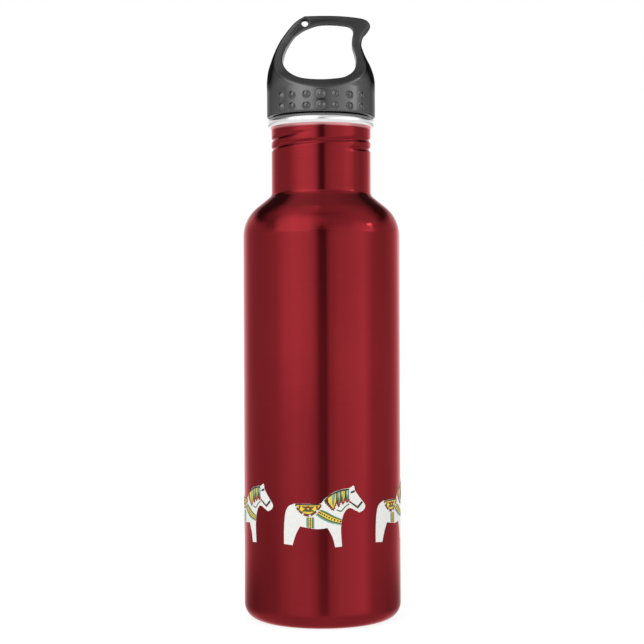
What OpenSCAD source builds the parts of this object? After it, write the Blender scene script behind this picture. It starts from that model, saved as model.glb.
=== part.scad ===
// Single-wall steel water bottle with a screw-in loop cap and a ring of printed folk horses.
// Millimetres. +Z is up, the origin is the middle of the circle that the bottle stands on,
// and the front, with the middle horse, faces -Y.

/* [Bottle] */
// Outer diameter of the body
body_d = 73; // [70:0.5:76]
// Height at which the shoulder starts to curve in
shoulder_z = 177.5; // [150:0.5:178]
// Radius of the round part of the shoulder
shoulder_r = 17.5; // [16:0.5:18]
// Outer diameter of the neck
neck_d = 46.4; // [46.4]
// Thickness of the steel sheet
sheet = 0.5; // [0.4:0.05:0.6]
// Height of the weld between the body and the bottom dish
weld_z = 9; // [8:0.5:12]
// Radius of the bottom corner
corner_r = 7.2; // [6:0.2:7.4]

/* [Mouth and thread] */
// Height of the top of the rolled lip
lip_z = 231.4; // [231:0.2:232]
// Height of the rolled lip
lip_h = 2.9; // [2.5:0.1:3]
// Rise of the thread in one full turn
lead = 8.4; // [8.4]
// Number of thread starts
starts = 2; // [2]
// Depth of the rolled groove
groove = 0.8; // [0.7:0.05:0.9]

/* [Cap] */
// Outer diameter of the cap's skirt
cap_d = 50.6; // [50.6]
// Half thickness of the loop's upper part
loop_half = 4; // [3.5:0.25:4.5]
// Radius of the lanyard hole
hole_r = 1.5; // [1:0.1:1.7]
// Height by which the grip studs stand out
stud_h = 0.7; // [0.3:0.1:0.8]
// Thickness of the gasket
gasket_h = 2; // [1.8:0.1:2.2]

/* [Print] */
// Number of horses round the bottle
horses = 5; // [5]
// Angle from one horse to the next; a wider gap is left at the back
horse_pitch = 69; // [66:0.5:72]
// Thickness of the white base layer
base_ink = 0.12; // [0.08:0.01:0.16]
// Thickness of a colour layer
colour_ink = 0.08; // [0.06:0.01:0.12]

/* [Hidden] */
$fn = 96;
body_r = body_d / 2;
neck_r = neck_d / 2;
cap_r = cap_d / 2;
bore_r = neck_r - sheet;              // inner wall of the neck
lip_base_z = lip_z - lip_h;
lip_out_r = neck_r + 2.4;             // outside of the rolled lip
lip_round = lip_h / 2 - 0.05;         // rounding of the roll's outer side
lip_inner = 0.9;                      // rounding over the mouth
slope = 39;                           // slope of the shoulder's cone above the horizontal
neck_fillet = 3.2;                    // fillet between shoulder and neck
weld_gap_r = 2;                       // width of the flat ring that the bottle stands on
dish_h = 2.6;                         // rise of the middle of the bottom

thread_z = 216.8;                     // middle of a groove where it begins
thread_a = 295;                       // angle, from +X, where the first groove begins
thread_turn = 325;                    // angle that each groove covers
fade = 40;                            // angle over which a groove runs out
groove_half = 1.35;                   // half width of a groove
thread_low = 214.4;                   // the neck's threaded length, from here
thread_high = 227.4;                  // to here
rows = 20;                            // rows of facets along a threaded length
columns = 48;                         // facets round a threaded length
tuck = 0.08;                          // the threaded length's ends sit this deep in the plain wall

plug_r = bore_r - groove - 0.6;       // outer wall of the plug
plug_wall = 1.8;
plug_low_z = 214;
plug_top_z = 242;
plug_thread = 0.9;                    // height of the plug's thread
plug_late = 40;                       // the plug's thread begins this much later
plug_thread_z = thread_z - lead / starts / 2 + 0.2;

skirt_z = 232.9;                      // lower edge of the cap's skirt
skirt_round = 0.8;                    // rounding of that edge
seat_z = lip_z + 0.1 + gasket_h;      // underside of the cap over the gasket
pocket_r = cap_r - 1;                 // inside of the skirt round the gasket
cap_top_z = 280.4;
dome_left_z = 268;                    // top of the turned part on the left
dome_right_z = 267;                   // and on the hooked side
hole_at = [-7.4, 277.3];              // lanyard hole, x and z
stud_ball = 2.4;                      // radius of the ball that makes a stud
stud_rows = [235.8, 240.9];
stud_pitch = 15.5;                    // angle between two columns of studs
stud_side = 3;                        // columns on each side of the middle one

COLOURS = ["base", "saddle", "harness", "mane", "bridle"];

// ---- curves ----

// Points of an arc from angle a to angle b
function arc(c, r, a, b, n = 10) =
    [for (i = [0:n]) c + r * [cos(a + (b - a) * i / n), sin(a + (b - a) * i / n)]];

// One point of a Catmull-Rom curve between b and c
function between(a, b, c, d, t) = 0.5 * (2 * b + (c - a) * t
    + (2 * a - 5 * b + 4 * c - d) * t * t + (3 * b - a - 3 * c + d) * t * t * t);

// Closed smooth curve through the points p
function closed_curve(p, n = 4) = let (m = len(p))
    [for (i = [0:m - 1], j = [0:n - 1])
        between(p[(i + m - 1) % m], p[i], p[(i + 1) % m], p[(i + 2) % m], j / n)];

// Open smooth curve through the points p, from its first to its last
function open_curve(p, n = 4) = let (m = len(p))
    [for (i = [0:m - 2], j = [0:n]) if (j < n || i == m - 2)
        between(p[max(i - 1, 0)], p[i], p[i + 1], p[min(i + 2, m - 1)], j / n)];

function reversed(p) = [for (i = [len(p) - 1:-1:0]) p[i]];

// ---- steel bottle ----

// Right half of the outline from the weld up to the threaded length, moved inwards by t
function wall_line(t) =
    let (lean = 90 - slope,
        dome = [body_r - shoulder_r, shoulder_z],
        pivot_r = neck_r + neck_fillet,
        pivot_z = dome.y + (shoulder_r + neck_fillet - (pivot_r - dome.x) * cos(lean)) / sin(lean))
    concat([[body_r - t, weld_z]],
        arc(dome, shoulder_r - t, 0, lean, 12),
        arc([pivot_r, pivot_z], neck_fillet + t, 180 + lean, 180, 6),
        [[neck_r - t, thread_low + 0.4]]);

// Share of the full thread, 0 to 1, at one angle and height. The threads begin at height z
// and angle a and cover the angle turn.
function thread_share(angle, height, z, a, turn) = let (shares = [for (k = [0:starts - 1])
        let (along = (angle - a - 360 * k / starts + 1440) % 360,
            share = max(0, min(1, along / fade, (turn - along) / fade)),
            off = abs(height - z - lead * along / 360))
        off < groove_half ? share * share * (3 - 2 * share) * pow(cos(90 * off / groove_half), 2)
            : 0])
    max(shares);

// One threaded surface as rings of points: radius r, raised by depth where the thread is
function thread_points(r, depth, low, high, z, a, turn) =
    [for (j = [0:rows], i = [0:columns - 1])
        let (angle = 360 * i / columns, height = low + (high - low) * j / rows,
            radius = r + depth * thread_share(angle, height, z, a, turn))
        [radius * cos(angle), radius * sin(angle), height]];

// Facets of such a surface, its points counted from first
function thread_faces(first, outward) =
    [for (j = [0:rows - 1], i = [0:columns - 1])
        let (near = first + j * columns + i, next = first + j * columns + (i + 1) % columns,
            quad = [near, near + columns, next + columns, next])
        outward ? quad : reversed(quad)];

// Thin tube with the thread rolled into both of its sides
module threaded_tube() {
    count = (rows + 1) * columns;
    last = rows * columns;
    polyhedron(
        concat(thread_points(neck_r - tuck, -groove, thread_low, thread_high,
                thread_z, thread_a, thread_turn),
            thread_points(bore_r + tuck, -groove, thread_low, thread_high,
                thread_z, thread_a, thread_turn)),
        concat(thread_faces(0, true), thread_faces(count, false),
            [for (i = [0:columns - 1]) let (k = (i + 1) % columns)
                [i, k, count + k, count + i]],
            [for (i = [0:columns - 1]) let (k = (i + 1) % columns)
                [last + k, last + i, count + last + i, count + last + k]]),
        convexity = 8);
}

// Drawn body with shoulder and neck, and the thread rolled into the neck
module body_shell() {
    color([0.48, 0.05, 0.08]) {
        rotate_extrude() polygon(concat(wall_line(0), reversed(wall_line(sheet))));
        threaded_tube();
        translate([0, 0, thread_high - 0.4]) difference() {
            cylinder(h = lip_base_z - thread_high + 0.4, r = neck_r);
            translate([0, 0, -1]) cylinder(h = lip_z - thread_high, r = bore_r);
        }
    }
}

// Bottom dish, from the weld round the corner to the raised middle, moved in by t
function dish_line(t) =
    concat([[body_r - t, weld_z]],
        arc([body_r - corner_r, corner_r], corner_r - t, 0, -90, 8),
        arc([body_r - corner_r - weld_gap_r, dish_h], dish_h + (t > 0 ? -t : 0), -90, -100, 2),
        [[body_r - corner_r - weld_gap_r - 4, dish_h + t], [0, dish_h + t]]);

module base_plate() {
    color([0.45, 0.05, 0.08])
    rotate_extrude() polygon(concat(dish_line(0), reversed(dish_line(sheet))));
}

// Outline of the lip's section, moved in by t, from the neck's inner wall over the top
// and back under the roll
function lip_line(t) = let (r = lip_round - t, inner = lip_inner - t / 2)
    concat([[bore_r + t, lip_base_z]],
        arc([bore_r + t + inner, lip_z - t - inner], inner, 180, 90, 6),
        arc([lip_out_r - t - r, lip_z - t - r], r, 90, 0, 8),
        arc([lip_out_r - t - r, lip_base_z + t + r], r, 0, -90, 8));

module mouth_lip() {
    color([0.86, 0.87, 0.88])
    rotate_extrude() polygon(concat(lip_line(0), [[neck_r + 0.1, lip_base_z]],
        [[neck_r + 0.1, lip_base_z + sheet]], reversed(lip_line(sheet))));
}

// ---- cap ----

module cap_gasket() {
    color([0.30, 0.31, 0.32])
    translate([0, 0, lip_z + 0.1])
    difference() {
        cylinder(h = gasket_h, r = pocket_r - 0.15);
        translate([0, 0, -1]) cylinder(h = gasket_h + 2, r = plug_r + 0.15);
    }
}

// Threaded cup that screws into the neck, closed at the bottom
module cap_plug() {
    low = plug_low_z + 2.2;
    high = low + thread_high - thread_low - 1;
    last = rows * columns;
    color([0.24, 0.25, 0.26])
    difference() {
        union() {
            translate([0, 0, plug_low_z]) cylinder(h = low + 0.4 - plug_low_z, r = plug_r);
            polyhedron(thread_points(plug_r - tuck, plug_thread, low, high,
                    plug_thread_z + lead * plug_late / 360, thread_a + plug_late,
                    thread_turn - 65),
                concat(thread_faces(0, true), [[for (i = [0:columns - 1]) i]],
                    [[for (i = [columns - 1:-1:0]) last + i]]), convexity = 6);
            translate([0, 0, high - 0.4]) cylinder(h = plug_top_z - high + 0.4, r = plug_r);
        }
        translate([0, 0, plug_low_z + plug_wall])
            cylinder(h = plug_top_z - plug_low_z, r = plug_r - plug_wall);
    }
}

// Front outline of the cap and its loop, with the hook on the right
CAP_LEFT = [[-25.3, 246], [-25.1, 250], [-24.4, 254], [-23, 258], [-21.5, 262], [-18.7, 268],
    [-14.6, 273.7], [-11.1, 277.5], [-8, 279.6]];
CAP_RIGHT = [[-8, 279.6], [2, 280], [11, 279.7], [19.5, 278.7], [22.2, 277], [22.8, 275.2],
    [21.3, 272.8], [19.5, 270.6], [18.8, 267], [20.2, 262.6], [21.7, 259.4], [23.2, 256.4],
    [24.8, 251.4], [25.3, 246]];
LOOP_HOLE = [[-17.8, 258.8], [-16.5, 264.3], [-12.9, 270.2], [-10, 272.9], [-6.8, 274.8],
    [-1.6, 276.6], [3.6, 277], [9.2, 276.6], [13, 275.9], [14.8, 274.4], [15.1, 272.2],
    [14.6, 269.4], [14.7, 266.2], [15.8, 262.6], [16.4, 259.2], [15.6, 254], [12.9, 250.7],
    [8.8, 248.9], [0, 248.1], [-8.4, 248.9], [-13.2, 251.1], [-16.4, 254.4]];
// Side outline of the cap: half depth and height
SCOOP = [[25.3, 243.9], [23.9, 245.4], [21, 248.1], [18, 250.9], [15.1, 253.7], [11, 258.6],
    [7.4, 263.4], [5, 267.6], [4, 271.5]];

module front_form() {
    rotate([90, 0, 0])
    linear_extrude(height = cap_d + 4, center = true)
    polygon(concat([[-cap_r, skirt_z]], open_curve(CAP_LEFT),
        open_curve(CAP_RIGHT), [[cap_r, skirt_z]]));
}

module side_form() {
    half = open_curve(SCOOP);
    scaled = [for (q = half) [loop_half + (q.x - 4) * (cap_r - loop_half) / (SCOOP[0].x - 4), q.y]];
    right = concat([[cap_r + 1, skirt_z], [cap_r + 1, SCOOP[0].y]], scaled,
        [[loop_half, cap_top_z + 1]]);
    rotate([90, 0, 90])
    linear_extrude(height = cap_d + 4, center = true)
    polygon(concat(right, [for (q = reversed(right)) [-q.x, q.y]]));
}

// Skirt and dome turned with one outline, which runs upwards, and kept from x = from to
// x = from + cap_r + 5
module dome_side(dome, from) {
    intersection() {
        rotate_extrude()
        polygon(concat([[0, skirt_z]],
            arc([cap_r - skirt_round, skirt_z + skirt_round], skirt_round, -90, 0, 5), dome,
            [[0, cap_top_z + 1]]));
        translate([from, -cap_d, 0]) cube([cap_r + 5, cap_d * 2, cap_top_z + 2]);
    }
}

// Turned form of the cap: each side of the loop is cut from a dome that follows its outline
module round_form() {
    left = [for (q = open_curve(CAP_LEFT)) if (q.y < dome_left_z) [0.15 - q.x, q.y]];
    right = [for (q = reversed(open_curve(CAP_RIGHT))) if (q.x > 18.8 && q.y < dome_right_z)
        [0.15 + q.x, q.y]];
    dome_side(concat(left, [[left[len(left) - 1].x, cap_top_z + 1]]), -cap_r - 5);
    dome_side(concat(right, [[cap_r, cap_top_z + 1]]), 0);
}

module loop_hole() {
    rotate([90, 0, 0])
    linear_extrude(height = cap_d + 4, center = true)
    polygon(closed_curve(LOOP_HOLE));
}

// Grip studs in two rows, on the front and on the back
module grip_studs() {
    for (side = [0, 180], k = [-stud_side:stud_side], z = stud_rows)
        rotate([0, 0, side + k * stud_pitch])
        translate([0, -(cap_r + stud_h - stud_ball), z])
        sphere(r = stud_ball);
}

module cap_shell() {
    color([0.29, 0.30, 0.31])
    difference() {
        union() {
            intersection() {
                round_form();
                side_form();
                front_form();
            }
            grip_studs();
        }
        loop_hole();
        translate([hole_at.x, 0, hole_at.y]) rotate([90, 0, 0])
            cylinder(h = cap_d, r = hole_r, center = true);
        translate([0, 0, skirt_z - 1]) cylinder(h = seat_z - skirt_z + 1, r = pocket_r);
        translate([0, 0, skirt_z]) cylinder(h = plug_top_z - skirt_z, r = plug_r);
    }
}

// ---- printed horses ----
// All outlines are on the unrolled wall: x runs round the bottle to the right, y is the height.

RUMP = [[-17.9, 38.5], [-17.9, 44], [-17.6, 49.5], [-16.9, 53.3], [-15.4, 55.6], [-12.8, 56.7]];
BACK = [[-12.8, 56.7], [-6.4, 56.8], [-1.2, 56.8], [1, 59], [4.8, 61.8], [9, 63.2], [12.3, 63.6]];
EAR = [[12.3, 63.6], [14.1, 64.7], [14.6, 64.3], [14.8, 62.5]];
FACE = [[14.8, 62.5], [16.5, 60.2], [18.2, 58.1], [19.7, 56.3], [20.1, 55], [19.2, 53.5],
    [17.1, 52.5]];
THROAT = [[17.1, 52.5], [15, 53.6], [12.4, 54.7], [10.5, 53.7], [9.1, 51], [8.4, 47.5], [8.3, 44],
    [8.7, 37.7]];
FORE_LEG = [[5.6, 37.5], [4.4, 42], [2.2, 46.1]];
BELLY = [[2.2, 46.1], [-2, 45.6], [-6, 46], [-10.1, 46.7]];
HIND_LEG = [[-10.1, 46.7], [-12.1, 43], [-13.7, 38.2]];
HORSE = concat(open_curve(RUMP), open_curve(BACK), EAR, open_curve(FACE), open_curve(THROAT),
    open_curve(FORE_LEG), open_curve(BELLY), open_curve(HIND_LEG));

// Scalloped saddle cloth hanging from the back
scallops = 7;
SADDLE = let (left = [-12.4, 55.8], low = [-6.4, 51.5], right = [-0.4, 56.2])
    concat([[-12.2, 56.5]],
        [for (i = [0:scallops * 6]) let (t = i / scallops / 6,
            edge = (1 - t) * (1 - t) * left + 2 * t * (1 - t) * (2 * low - (left + right) / 2)
                + t * t * right)
            edge + [0, -0.45 * abs(sin(180 * scallops * t))]],
        [[-0.7, 56.5], [-4, 56.5], [-10.2, 56.5]]);

// Girth under the belly and strap across the chest
GIRTH = [[-7.3, 50.8], [-3.7, 50.8], [-3.6, 45.9], [-7.2, 46.3]];
STRAP = concat(open_curve([[-0.7, 54.3], [1.6, 53.4], [5, 51.5], [8.6, 49.9]]),
    reversed(open_curve([[-3, 51.9], [-0.4, 50.1], [3.4, 48.3], [8.3, 47.3]])));

// Mane: a smooth crest with pointed locks below
MANE = concat(open_curve([[0.7, 57.9], [2.9, 60.2], [4.8, 61.4], [6.8, 62.3], [9, 62.9],
    [12, 63.2]]), [[12, 58.2], [11.2, 57.2], [10.2, 58.6], [9.2, 56.5], [8.2, 58.2],
    [7.3, 55.4], [6.3, 57.4], [4.9, 53.6]]);

// Band of even height w along a curve
function band(p, w) = let (q = open_curve(p))
    concat([for (a = q) a + [0, w / 2]], reversed([for (a = q) a - [0, w / 2]]));

// Headstall: brow band, cheek strap, nose band and rein
BRIDLE = [
    [[12.9, 62], [14.6, 62.6], [14.9, 61.7], [13.2, 61.2]],
    [[12.2, 57.3], [12.5, 57.8], [16.3, 55.2], [15.7, 54.6]],
    [[18.2, 57.6], [18.8, 56.9], [16.3, 54.3], [15.6, 54.9]],
    band([[6.3, 54.1], [8.3, 53.5], [10.3, 55.4], [12.1, 56.6]], 0.6)];

// Thin layer of ink of the given outline, on the wall between two heights above the steel
module ink(outline, low, high, turn) {
    rotate([0, 0, turn])
    intersection() {
        difference() {
            cylinder(h = shoulder_z, r = body_r + high);
            translate([0, 0, -1]) cylinder(h = shoulder_z + 2, r = body_r + low);
        }
        rotate([90, 0, 0]) linear_extrude(height = body_d)
            polygon([for (q = outline) [body_r * sin(q.x / body_r * 180 / PI), q.y]]);
    }
}

module horse_layer(i, layer) {
    turn = horse_pitch * (i > horses / 2 + 1 ? i - 1 - horses : i - 1);
    top = base_ink + colour_ink;
    if (layer == "base") color([0.90, 0.90, 0.86]) ink(HORSE, 0, base_ink, turn);
    if (layer == "saddle") color([0.85, 0.72, 0.18]) ink(SADDLE, base_ink, top, turn);
    if (layer == "harness") color([0.35, 0.55, 0.42]) {
        ink(GIRTH, base_ink, top, turn);
        ink(STRAP, base_ink, top, turn);
    }
    if (layer == "mane") color([0.55, 0.70, 0.62]) ink(MANE, base_ink, top, turn);
    if (layer == "bridle") color([0.16, 0.26, 0.16])
        for (part = BRIDLE) ink(part, base_ink, top, turn);
}

body_shell();
base_plate();
mouth_lip();
cap_gasket();
cap_plug();
cap_shell();
for (i = [1:horses], c = COLOURS)
    horse_layer(i, c);
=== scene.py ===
"""A red lacquered steel water bottle with a dark loop cap and a printed band of folk horses."""

from math import cos, hypot, pi, radians, sin

import bpy
import numpy as np
from mathutils.geometry import delaunay_2d_cdt
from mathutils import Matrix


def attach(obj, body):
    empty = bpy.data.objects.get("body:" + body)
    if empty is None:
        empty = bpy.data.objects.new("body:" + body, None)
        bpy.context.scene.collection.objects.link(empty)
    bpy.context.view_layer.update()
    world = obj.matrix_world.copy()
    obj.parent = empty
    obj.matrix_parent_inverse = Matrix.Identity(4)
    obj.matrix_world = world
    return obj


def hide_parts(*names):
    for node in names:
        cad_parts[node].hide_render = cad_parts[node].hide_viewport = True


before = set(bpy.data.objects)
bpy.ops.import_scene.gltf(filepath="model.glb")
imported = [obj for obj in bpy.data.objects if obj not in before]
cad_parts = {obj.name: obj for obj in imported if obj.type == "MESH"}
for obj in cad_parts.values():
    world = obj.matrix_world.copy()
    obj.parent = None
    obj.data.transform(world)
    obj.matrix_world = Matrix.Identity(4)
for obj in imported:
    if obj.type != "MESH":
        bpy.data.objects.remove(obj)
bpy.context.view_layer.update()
MM = 0.001
scene = bpy.context.scene

# ---------------------------------------------------------------- sizes, in mm and degrees
BODY_R = 36.5                         # outside of the body
NECK_R = 23.2                         # outside of the neck
SHEET = 0.5                           # thickness of the steel
WELD_Z = 9.0                          # height of the seam between wall and bottom
CORNER_R = 7.2                        # rounding of the bottom corner
FOOT_W = 2.0                          # width of the flat ring that the bottle stands on
FOOT_R = 1.6                          # rounding from that ring up into the dish
SHOULDER_Z = 177.5                    # top of the straight body
SHOULDER_R = 17.5                     # rounding of the shoulder
SLOPE = 39.0                          # slope of the shoulder above the horizontal
FILLET = 3.2                          # fillet between shoulder and neck
NECK_Z = 214.0                        # from here up the neck's wall is finely divided
FLARE_Z = 226.6                       # from here it flares into the lip,
FLARE = 0.35                          # by this much
LIP_TOP = 231.4
LIP_LOW = LIP_TOP - 3.1
LIP_R = 25.6                          # outside of the lip
STARTS = 2                            # grooves of the thread
LEAD = 8.4                            # rise of a groove in one turn
GROOVE = 0.8                          # depth of a groove
GROOVE_HALF = 1.35                    # half its width
THREAD_Z = 216.5                      # middle of a groove where it begins
THREAD_A = 295.0                      # angle from +X where the first groove begins
THREAD_TURN = 325.0                   # angle that a groove covers
FADE = 40.0                           # angle over which a groove runs out
CAP_R = 25.3                          # outside of the skirt
SKIRT_Z = 232.9                       # lower edge of the skirt
POCKET_R = CAP_R - 1                  # inside of the skirt round the gasket
SEAT_Z = LIP_TOP + 0.1 + 2.0          # underside of the cap over the gasket
FACE_Z = 243.0                        # the loop's matt faces begin above this height
HOOK_Z = 267.0                        # the hook leaves the loop's right arm here
STUD_ROWS = (235.8, 240.9)
STUD_PITCH = 15.5                     # angle between two columns of studs
STUD_SIDE = 3                         # columns on each side of the middle one
STUD_BALL = 2.1                       # radius of the ball that makes a stud
STUD_H = 0.85                         # how far a stud stands proud
HOLE_AT = (-7.4, 277.1)               # lanyard hole, x and z
HOLE_R = 1.6
PLUG_R = 21.3                         # outside of the plug
PLUG_WALL = 1.8
PLUG_ROUND = 0.6                      # rounding of its lower edge
PLUG_THREAD = 0.9                     # height of its thread
PLUG_LOW = 214.0
PLUG_TOP = 242.0
AXIS = 0.01                           # a turned section ends this close to the axis
HORSES = 5
HORSE_PITCH = 69.0                    # angle between two horses

CAMERA_AT = (0.0001, -0.720, 0.13764)  # in metres
CAMERA_ROLL = 0.215                   # turn about the line of sight
LENS = 86.0
LIGHT_TOP = 8.0                       # brightness that stands for 1 in the light's colour ramps


# ---------------------------------------------------------------- camera and light
def make_camera():
    """Level camera in front of the bottle."""
    data = bpy.data.cameras.new("camera")
    data.lens = LENS
    data.sensor_width = 36.0
    data.clip_start = 0.02
    data.clip_end = 20.0
    cam = bpy.data.objects.new("camera", data)
    scene.collection.objects.link(cam)
    cam.location = CAMERA_AT
    cam.rotation_euler = (radians(90), radians(CAMERA_ROLL), 0)
    scene.camera = cam


class Nodes:
    """A short way to write node trees."""

    def __init__(self, tree):
        self.tree = tree
        tree.nodes.clear()

    def add(self, kind, inputs=None, **attributes):
        node = self.tree.nodes.new("ShaderNode" + kind)
        for name, value in attributes.items():
            setattr(node, name, value)
        for key, value in (inputs or {}).items():
            self.set(node, key, value)
        return node

    def set(self, node, key, value):
        socket = node.inputs[key]
        if isinstance(value, bpy.types.NodeSocket):
            self.tree.links.new(value, socket)
        elif isinstance(value, bpy.types.Node):
            self.tree.links.new(value.outputs[0], socket)
        else:
            socket.default_value = value

    def math(self, operation, a, b=None):
        node = self.add("Math", operation=operation)
        for i, value in enumerate((a, b)):
            if value is not None:
                self.set(node, i, value)
        return node.outputs[0]

    def ramp(self, factor, stops):
        """stops are (position, value or colour)."""
        node = self.add("ValToRGB", {"Fac": factor})
        elements = node.color_ramp.elements
        while len(elements) > 1:
            elements.remove(elements[-1])
        for i, (position, value) in enumerate(stops):
            colour = (value, value, value, 1) if isinstance(value, (int, float)) else (*value, 1)
            if i:
                element = elements.new(position)
            else:
                element = elements[0]
                element.position = position
            element.color = colour
        return node.outputs["Color"]

    def map(self, value, low, high, to_low=0.0, to_high=1.0):
        node = self.add("MapRange", {"Value": value, "From Min": low, "From Max": high,
                                     "To Min": to_low, "To Max": to_high})
        return node.outputs["Result"]

    def surface(self, shader, output="OutputMaterial"):
        self.set(self.add(output), "Surface", shader)


# Studio light by direction. Each band is an elevation in degrees and its brightness round the
# horizon, at azimuths in degrees from the camera's side, + to the right.
CAP_LIGHT = [(-180, 0.97), (-149, 1.2), (-134, 0.94), (-114, 0.87), (-94, 0.87), (-79, 1.0),
             (-67, 1.75), (-56, 2.45), (-42, 2.8), (-20, 2.4), (-11, 1.35), (-5, 0.45), (-1, 0.25),
             (5, 0.23), (8, 0.5), (13, 0.9), (22, 1.2), (42, 1.6), (60, 2.1), (67, 2.7),
             (78, 2.9), (85, 1.5), (94, 1.0), (110, 0.9), (134, 1.0), (150, 1.3), (180, 1.0)]
BANDS = [
    (-30, [(-180, 1.12), (180, 1.12)]),
    (-18, [(-180, 0.8), (-120, 0.6), (-60, 1.2), (-25, 1.5), (0, 1.0), (25, 1.3), (60, 1.4),
           (120, 0.6), (180, 0.8)]),
    (-10, [(-180, 0.95), (-160, 0.75), (-140, 0.56), (-118, 0.5), (-98, 0.7), (-72, 0.86),
           (-58, 1.25), (-44, 1.55), (-18, 1.6), (-9, 1.2), (-3, 0.7), (6, 0.62), (11, 1.1),
           (25, 1.52), (62, 1.88), (70, 1.5), (80, 1.0), (98, 0.88), (112, 0.72), (140, 0.56),
           (160, 0.75), (180, 0.95)]),
    (-8.6, [(-180, 1.05), (-147, 1.3), (-134, 1.0), (-110, 0.88), (-86, 0.85), (-72, 0.95),
            (-58, 1.3), (-40, 1.58), (-20, 1.45), (-9, 1.1), (-3, 0.62), (6, 0.52), (11, 1.1),
            (25, 1.52), (62, 1.88), (70, 1.5), (80, 1.22), (110, 1.02), (135, 1.1), (150, 1.25),
            (180, 1.05)]),
    (-4.5, [(-180, 1.0), (-147, 1.28), (-134, 0.95), (-110, 0.95), (-86, 1.05), (-72, 1.12),
            (-58, 1.4), (-40, 1.68), (-20, 1.45), (-9, 1.05), (-3, 0.58), (6, 0.47), (11, 1.1),
            (25, 1.58), (50, 1.85), (64, 2.0), (70, 1.6), (80, 1.2), (110, 1.05), (135, 1.15),
            (155, 1.38), (180, 1.1)]),
    (-1, [(-180, 1.0), (-147, 1.28), (-134, 0.93), (-118, 0.92), (-86, 1.14), (-70, 1.28),
          (-54, 2.0), (-36, 2.15), (-16, 1.82), (-9, 1.3), (-3, 0.56), (6, 0.47), (11, 1.15),
          (25, 1.66), (50, 1.92), (64, 2.15), (70, 1.75), (80, 1.25), (118, 1.06), (145, 1.3),
          (162, 1.42), (180, 1.1)]),
    (4, [(-180, 1.0), (-147, 1.3), (-134, 0.94), (-110, 0.92), (-80, 1.1), (-68, 1.35),
         (-56, 1.85), (-40, 2.2), (-20, 1.95), (-11, 1.45), (-5, 0.6), (-1, 0.3), (5, 0.26),
         (8, 0.7), (13, 1.15), (24, 1.4), (42, 1.6), (62, 1.95), (72, 1.6), (84, 1.1),
         (104, 0.92), (130, 1.2), (150, 1.7), (180, 1.3)]),
    (7.2, [(-180, 0.98), (-148, 1.25), (-134, 0.96), (-110, 0.93), (-80, 1.05), (-68, 1.6),
           (-56, 2.05), (-40, 2.4), (-20, 2.1), (-11, 1.4), (-5, 0.55), (-1, 0.32), (5, 0.3),
           (8, 0.7), (13, 1.1), (24, 1.38), (42, 1.6), (62, 2.05), (70, 2.0), (77, 1.9),
           (84, 1.3), (104, 0.96), (130, 1.12), (150, 1.5), (180, 1.1)]),
    (7.8, CAP_LIGHT),
    (9.0, CAP_LIGHT),
    (11, [(-180, 0.95), (-150, 1.15), (-120, 0.98), (-95, 0.9), (-78, 1.0), (-66, 2.0),
          (-42, 2.75), (-18, 2.35), (-10, 1.4), (-5, 0.6), (-1, 0.4), (5, 0.4), (9, 0.9),
          (20, 1.36), (42, 1.6), (62, 2.2), (70, 2.5), (77, 2.5), (84, 1.5), (92, 1.1),
          (105, 1.0), (150, 1.2), (180, 0.95)]),
    (20, [(-180, 0.45), (-160, 0.5), (-146, 1.25), (-120, 0.9), (-102, 0.8), (-86, 0.6),
          (-76, 0.75), (-66, 2.1), (-42, 2.8), (-18, 2.4), (-7, 1.1), (0, 0.48), (10, 0.9),
          (22, 1.22), (44, 1.45), (64, 2.1), (75, 2.4), (79, 3.8), (86, 1.4), (92, 1.0),
          (102, 0.8), (120, 0.75), (146, 1.15), (160, 0.55), (180, 0.45)]),
    (23.8, [(-180, 0.25), (-146, 0.65), (-120, 0.5), (-100, 0.66), (-84, 0.6), (-70, 1.6),
            (-60, 2.25), (-43, 2.8), (-20, 2.4), (0, 0.65), (12, 0.93), (22, 1.15), (44, 1.35),
            (62, 1.95), (74, 2.1), (76, 7.5), (82, 7.5), (86, 1.6), (100, 0.9), (115, 0.5),
            (134, 0.5), (160, 0.3), (180, 0.25)]),
    (28, [(-180, 0.06), (-128, 0.1), (-112, 0.22), (-98, 0.45), (-82, 0.58), (-72, 1.7),
          (-60, 2.3), (-44, 2.84), (-20, 2.45), (0, 0.8), (14, 0.95), (44, 1.25), (62, 1.8),
          (78, 1.3), (92, 1.25), (108, 0.4), (122, 0.15), (180, 0.06)]),
    (40, [(-180, 0.06), (-150, 0.08), (-128, 0.1), (-108, 0.5), (-88, 0.7), (-72, 1.8),
          (-50, 2.7), (-24, 2.5), (-4, 1.3), (14, 0.96), (46, 1.12), (76, 1.3), (98, 1.1),
          (112, 0.6), (128, 0.12), (150, 0.08), (180, 0.06)]),
    (49, [(-180, 0.1), (-150, 0.12), (-122, 0.32), (-108, 0.7), (-84, 1.2), (-54, 2.35),
          (-26, 2.2), (0, 0.95), (24, 0.9), (56, 1.06), (86, 1.26), (112, 0.85), (135, 0.5),
          (180, 0.1)]),
    (60, [(-180, 0.7), (-150, 0.95), (-125, 0.95), (-95, 1.3), (-60, 1.75), (-32, 1.55), (0, 0.72),
          (32, 0.8), (70, 1.04), (100, 1.05), (145, 0.6), (180, 0.7)]),
    (76, [(-180, 0.78), (-90, 1.5), (-30, 1.45), (0, 0.95), (90, 0.95), (180, 0.78)]),
]


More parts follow.
